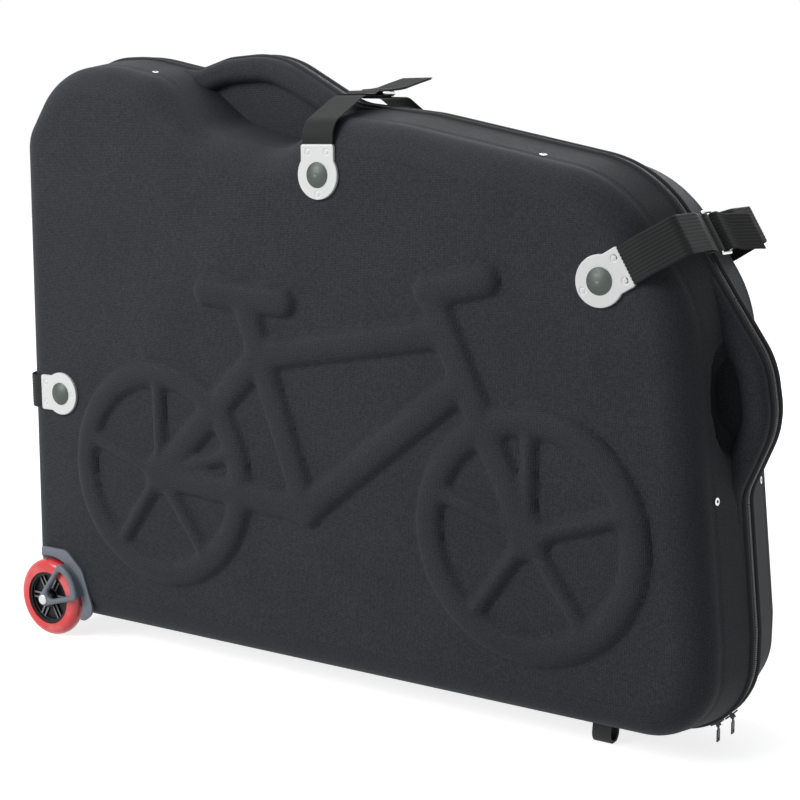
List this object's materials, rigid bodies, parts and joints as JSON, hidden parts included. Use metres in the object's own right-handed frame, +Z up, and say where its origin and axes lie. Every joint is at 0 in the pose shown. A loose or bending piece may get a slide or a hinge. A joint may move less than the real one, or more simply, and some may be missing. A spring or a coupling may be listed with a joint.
{
  "type": "bike travel case",
  "caption": "Moulded foam bike travel case in two zipped halves with rollered strap buckles, grip arches, a bottom fabric hinge, corner wheels and loop feet",
  "frame": {"origin": "on the floor under the middle of the case, on the plane where the two halves close", "axes": "+X from the wheels to the feet along the case, +Y from the front half to the back half, +Z up"},
  "size_m": [1.1894, 0.299, 0.88],
  "materials": {
    "case_fabric": "woven nylon laminated on moulded EVA foam",
    "binding": "woven polyester binding",
    "zip_tape": "woven polyester tape",
    "zip_metal": "dark nickel",
    "housing_plastic": "fine-textured moulded plastic",
    "steel": "zinc plated",
    "tyre_pu": "cast translucent polyurethane",
    "hub_plastic": "moulded",
    "foot_rubber": "moulded",
    "plate_metal": "silver paint",
    "rivet_metal": "gunmetal plating",
    "webbing": "ribbed polyester webbing",
    "wire": "polished",
    "roller_plastic": "smooth",
    "gusset": "woven nylon"
  },
  "bodies": {
    "front_shell": {"front_shell": "case_fabric", "front_binding": "binding", "front_zip_tape": "zip_tape", "front_zip_teeth": "zip_metal", "front_wheel_housing": "housing_plastic", "front_housing_screws": "steel", "front_axle": "steel", "front_axle_nut": "steel", "front_foot": "foot_rubber", "front_strap_rivets": "rivet_metal", "front_rivet_washers": "steel", "front_eyelets": "rivet_metal"},
    "front_wheel": {"front_tyre": "tyre_pu", "front_hub": "hub_plastic", "front_bearings": "steel", "front_bearing_spacer": "steel"},
    "back_shell": {"back_shell": "case_fabric", "back_binding": "binding", "back_zip_tape": "zip_tape", "back_zip_teeth": "zip_metal", "back_wheel_housing": "housing_plastic", "back_housing_screws": "steel", "back_axle": "steel", "back_axle_nut": "steel", "back_foot": "foot_rubber", "back_strap_rivets": "rivet_metal", "back_rivet_washers": "steel", "back_eyelets": "rivet_metal"},
    "back_wheel": {"back_tyre": "tyre_pu", "back_hub": "hub_plastic", "back_bearings": "steel", "back_bearing_spacer": "steel"},
    "gusset": {"hinge_gusset": "gusset"},
    "upper_slider": {"upper_zip_slider": "zip_metal"},
    "upper_pull": {"upper_zip_pull": "zip_metal"},
    "lower_slider": {"lower_zip_slider": "zip_metal"},
    "lower_pull": {"lower_zip_pull": "zip_metal"},
    "top_front_strap": {"top_front_plate": "plate_metal", "top_front_webbing": "webbing", "top_buckle_ring": "wire"},
    "top_back_strap": {"top_back_plate": "plate_metal", "top_back_webbing": "webbing"},
    "top_roller": {"top_buckle_roller": "roller_plastic"},
    "right_front_strap": {"right_front_plate": "plate_metal", "right_front_webbing": "webbing", "right_buckle_ring": "wire"},
    "right_back_strap": {"right_back_plate": "plate_metal", "right_back_webbing": "webbing"},
    "right_roller": {"right_buckle_roller": "roller_plastic"},
    "left_front_strap": {"left_front_plate": "plate_metal", "left_front_webbing": "webbing", "left_buckle_ring": "wire"},
    "left_back_strap": {"left_back_plate": "plate_metal", "left_back_webbing": "webbing"},
    "left_roller": {"left_buckle_roller": "roller_plastic"}
  },
  "joints": [
    {"name": "gusset_fold", "type": "hinge", "parent": "back_shell", "child": "gusset", "pos_m": [-0.0175, 0.028, 0.02248], "axis": [1, 0, 0], "range_deg": [0, 90]},
    {"name": "lid_fold", "type": "hinge", "parent": "gusset", "child": "front_shell", "pos_m": [-0.0175, -0.028, 0.02248], "axis": [1, 0, 0], "range_deg": [0, 90]},
    {"name": "front_wheel_spin", "type": "hinge", "parent": "front_shell", "child": "front_wheel", "pos_m": [-0.5185, -0.125, 0.06], "axis": [0, 1, 0], "continuous": true},
    {"name": "back_wheel_spin", "type": "hinge", "parent": "back_shell", "child": "back_wheel", "pos_m": [-0.5185, 0.125, 0.06], "axis": [0, 1, 0], "continuous": true},
    {"name": "upper_slider_run", "type": "hinge", "parent": "back_shell", "child": "upper_slider", "pos_m": [0.4755, 0, 0.122], "axis": [0, 1, 0], "range_deg": [-25, 0]},
    {"name": "upper_pull_swing", "type": "hinge", "parent": "upper_slider", "child": "upper_pull", "pos_m": [0.55135, 0, 0.04206], "axis": [0, 1, 0], "range_deg": [-25, 25]},
    {"name": "lower_slider_run", "type": "hinge", "parent": "back_shell", "child": "lower_slider", "pos_m": [0.4755, 0, 0.122], "axis": [0, 1, 0], "range_deg": [0, 4]},
    {"name": "lower_pull_swing", "type": "hinge", "parent": "lower_slider", "child": "lower_pull", "pos_m": [0.53225, 0, 0.02754], "axis": [0, 1, 0], "range_deg": [-25, 25]},
    {"name": "top_front_swivel", "type": "hinge", "parent": "front_shell", "child": "top_front_strap", "pos_m": [0.008, -0.1274, 0.7157], "axis": [0, 1, 0], "range_deg": [-1, 4]},
    {"name": "top_back_swivel", "type": "hinge", "parent": "back_shell", "child": "top_back_strap", "pos_m": [0.008, 0.1274, 0.7157], "axis": [0, 1, 0], "range_deg": [-1, 4]},
    {"name": "top_roller_spin", "type": "hinge", "parent": "top_front_strap", "child": "top_roller", "pos_m": [0.008, 0.012, 0.8217], "axis": [1, 0, 0], "continuous": true},
    {"name": "right_front_swivel", "type": "hinge", "parent": "front_shell", "child": "right_front_strap", "pos_m": [0.4205, -0.1274, 0.5965], "axis": [0, 1, 0], "range_deg": [-4, 4]},
    {"name": "right_back_swivel", "type": "hinge", "parent": "back_shell", "child": "right_back_strap", "pos_m": [0.4205, 0.1274, 0.5965], "axis": [0, 1, 0], "range_deg": [-4, 4]},
    {"name": "right_roller_spin", "type": "hinge", "parent": "right_front_strap", "child": "right_roller", "pos_m": [0.5123, 0.012, 0.6495], "axis": [-0.5, 0, 0.866], "continuous": true},
    {"name": "left_front_swivel", "type": "hinge", "parent": "front_shell", "child": "left_front_strap", "pos_m": [-0.4797, -0.1274, 0.383], "axis": [0, 1, 0], "range_deg": [-2, 4]},
    {"name": "left_back_swivel", "type": "hinge", "parent": "back_shell", "child": "left_back_strap", "pos_m": [-0.4797, 0.1274, 0.383], "axis": [0, 1, 0], "range_deg": [-2, 4]},
    {"name": "left_roller_spin", "type": "hinge", "parent": "left_front_strap", "child": "left_roller", "pos_m": [-0.5857, 0.012, 0.383], "axis": [0, 0, 1], "continuous": true}
  ],
  "couplings": [
    {"joint": "lid_fold", "follows": "gusset_fold", "ratio": 1},
    {"joint": "top_back_swivel", "follows": "top_front_swivel", "ratio": 1},
    {"joint": "right_back_swivel", "follows": "right_front_swivel", "ratio": 1},
    {"joint": "left_back_swivel", "follows": "left_front_swivel", "ratio": 1}
  ]
}
